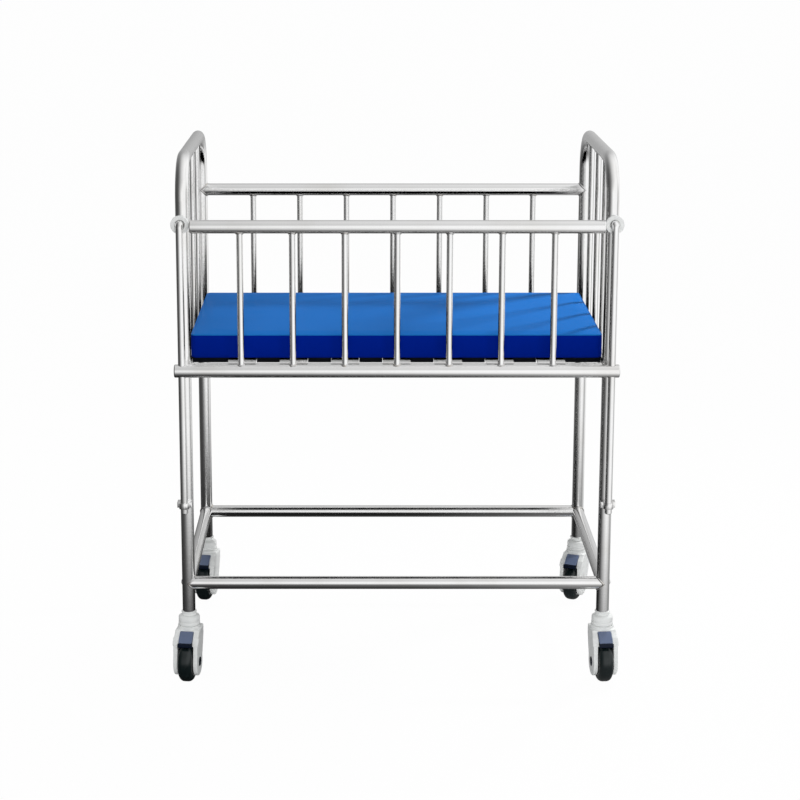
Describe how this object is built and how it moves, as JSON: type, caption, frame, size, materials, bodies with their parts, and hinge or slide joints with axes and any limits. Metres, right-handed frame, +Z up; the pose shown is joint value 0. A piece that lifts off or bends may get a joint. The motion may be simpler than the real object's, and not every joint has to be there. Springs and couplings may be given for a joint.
{
  "type": "hospital bassinet",
  "caption": "Tubular stainless steel hospital bassinet with hooped ends, a drop side on guide rods, a blue mattress on a slatted deck, and locking swivel casters",
  "frame": {"origin": "on the floor under the middle of the whole footprint", "axes": "+X along the cot towards its right end as seen from the drop side, +Y from the drop side to the back, +Z up"},
  "size_m": [0.8722, 0.559, 1.0345],
  "materials": {
    "stainless_tube": "polished",
    "stainless_rod": "polished",
    "stainless_slat": "satin",
    "white_nylon": "matte",
    "blue_vinyl": "soft sheen",
    "caster_white": "satin",
    "caster_steel": "bright",
    "navy_cap": "satin",
    "pedal_blue": "satin",
    "wheel_grey": "matte",
    "tyre_rubber": "matte"
  },
  "bodies": {
    "frame": {"left_end_hoop": "stainless_tube", "left_lower_end_rail": "stainless_tube", "left_bed_end_rail": "stainless_tube", "left_end_spindles": "stainless_rod", "left_guide_rod": "stainless_rod", "right_end_hoop": "stainless_tube", "right_lower_end_rail": "stainless_tube", "right_bed_end_rail": "stainless_tube", "right_end_spindles": "stainless_rod", "right_guide_rod": "stainless_rod", "front_lower_rail": "stainless_tube", "front_bed_rail": "stainless_tube", "rear_lower_rail": "stainless_tube", "rear_bed_rail": "stainless_tube", "rear_top_rail": "stainless_tube", "rear_spindles": "stainless_rod", "bed_slats": "stainless_slat", "rod_collars": "stainless_rod", "rod_rings": "white_nylon", "front_left_leg_bush": "caster_white", "front_left_caster_stem": "caster_steel", "front_left_swivel_head": "caster_white", "front_right_leg_bush": "caster_white", "front_right_caster_stem": "caster_steel", "front_right_swivel_head": "caster_white", "rear_left_leg_bush": "caster_white", "rear_left_caster_stem": "caster_steel", "rear_left_swivel_head": "caster_white", "rear_right_leg_bush": "caster_white", "rear_right_caster_stem": "caster_steel", "rear_right_swivel_head": "caster_white"},
    "drop_side": {"guard_top_rail": "stainless_tube", "guard_bottom_rail": "stainless_tube", "guard_spindles": "stainless_rod", "guard_end_caps": "stainless_tube"},
    "mattress": {"mattress": "blue_vinyl"},
    "front_left_caster": {"front_left_caster_housing": "caster_white", "front_left_wheel_axle": "caster_steel", "front_left_axle_caps": "navy_cap"},
    "front_left_wheel": {"front_left_wheel_hub": "wheel_grey", "front_left_tyre": "tyre_rubber"},
    "front_left_pedal": {"front_left_brake_pedal": "pedal_blue"},
    "front_right_caster": {"front_right_caster_housing": "caster_white", "front_right_wheel_axle": "caster_steel", "front_right_axle_caps": "navy_cap"},
    "front_right_wheel": {"front_right_wheel_hub": "wheel_grey", "front_right_tyre": "tyre_rubber"},
    "front_right_pedal": {"front_right_brake_pedal": "pedal_blue"},
    "rear_left_caster": {"rear_left_caster_housing": "caster_white", "rear_left_wheel_axle": "caster_steel", "rear_left_axle_caps": "navy_cap"},
    "rear_left_wheel": {"rear_left_wheel_hub": "wheel_grey", "rear_left_tyre": "tyre_rubber"},
    "rear_left_pedal": {"rear_left_brake_pedal": "pedal_blue"},
    "rear_right_caster": {"rear_right_caster_housing": "caster_white", "rear_right_wheel_axle": "caster_steel", "rear_right_axle_caps": "navy_cap"},
    "rear_right_wheel": {"rear_right_wheel_hub": "wheel_grey", "rear_right_tyre": "tyre_rubber"},
    "rear_right_pedal": {"rear_right_brake_pedal": "pedal_blue"}
  },
  "joints": [
    {"name": "drop_side_slide", "type": "slide", "parent": "frame", "child": "drop_side", "axis": [0, 0, 1], "range_m": [-0.24, 0]},
    {"name": "mattress_lift", "type": "slide", "parent": "frame", "child": "mattress", "axis": [0, 0, 1], "range_m": [0, 0.29]},
    {"name": "front_left_swivel", "type": "hinge", "parent": "frame", "child": "front_left_caster", "pos_m": [-0.40381, -0.21927, 0.109], "axis": [0, 0, 1], "continuous": true},
    {"name": "front_left_wheel_roll", "type": "hinge", "parent": "front_left_caster", "child": "front_left_wheel", "pos_m": [-0.40625, -0.23912, 0.04], "axis": [0.9925, -0.1219, 0], "continuous": true},
    {"name": "front_left_brake", "type": "hinge", "parent": "front_left_caster", "child": "front_left_pedal", "pos_m": [-0.40552, -0.23317, 0.093], "axis": [0.9925, -0.1219, 0], "range_deg": [0, 7]},
    {"name": "front_right_swivel", "type": "hinge", "parent": "frame", "child": "front_right_caster", "pos_m": [0.40619, -0.21927, 0.109], "axis": [0, 0, 1], "continuous": true},
    {"name": "front_right_wheel_roll", "type": "hinge", "parent": "front_right_caster", "child": "front_right_wheel", "pos_m": [0.40793, -0.23919, 0.04], "axis": [0.9962, 0.0872, 0], "continuous": true},
    {"name": "front_right_brake", "type": "hinge", "parent": "front_right_caster", "child": "front_right_pedal", "pos_m": [0.40741, -0.23322, 0.093], "axis": [0.9962, 0.0872, 0], "range_deg": [0, 7]},
    {"name": "rear_left_swivel", "type": "hinge", "parent": "frame", "child": "rear_left_caster", "pos_m": [-0.40381, 0.25073, 0.109], "axis": [0, 0, 1], "continuous": true},
    {"name": "rear_left_wheel_roll", "type": "hinge", "parent": "rear_left_caster", "child": "rear_left_wheel", "pos_m": [-0.40728, 0.23103, 0.04], "axis": [0.9848, -0.1736, 0], "continuous": true},
    {"name": "rear_left_brake", "type": "hinge", "parent": "rear_left_caster", "child": "rear_left_pedal", "pos_m": [-0.40624, 0.23694, 0.093], "axis": [0.9848, -0.1736, 0], "range_deg": [0, 7]},
    {"name": "rear_right_swivel", "type": "hinge", "parent": "frame", "child": "rear_right_caster", "pos_m": [0.40619, 0.25073, 0.109], "axis": [0, 0, 1], "continuous": true},
    {"name": "rear_right_wheel_roll", "type": "hinge", "parent": "rear_right_caster", "child": "rear_right_wheel", "pos_m": [0.39806, 0.23246, 0.04], "axis": [0.9135, -0.4067, 0], "continuous": true},
    {"name": "rear_right_brake", "type": "hinge", "parent": "rear_right_caster", "child": "rear_right_pedal", "pos_m": [0.4005, 0.23794, 0.093], "axis": [0.9135, -0.4067, 0], "range_deg": [0, 7]}
  ]
}
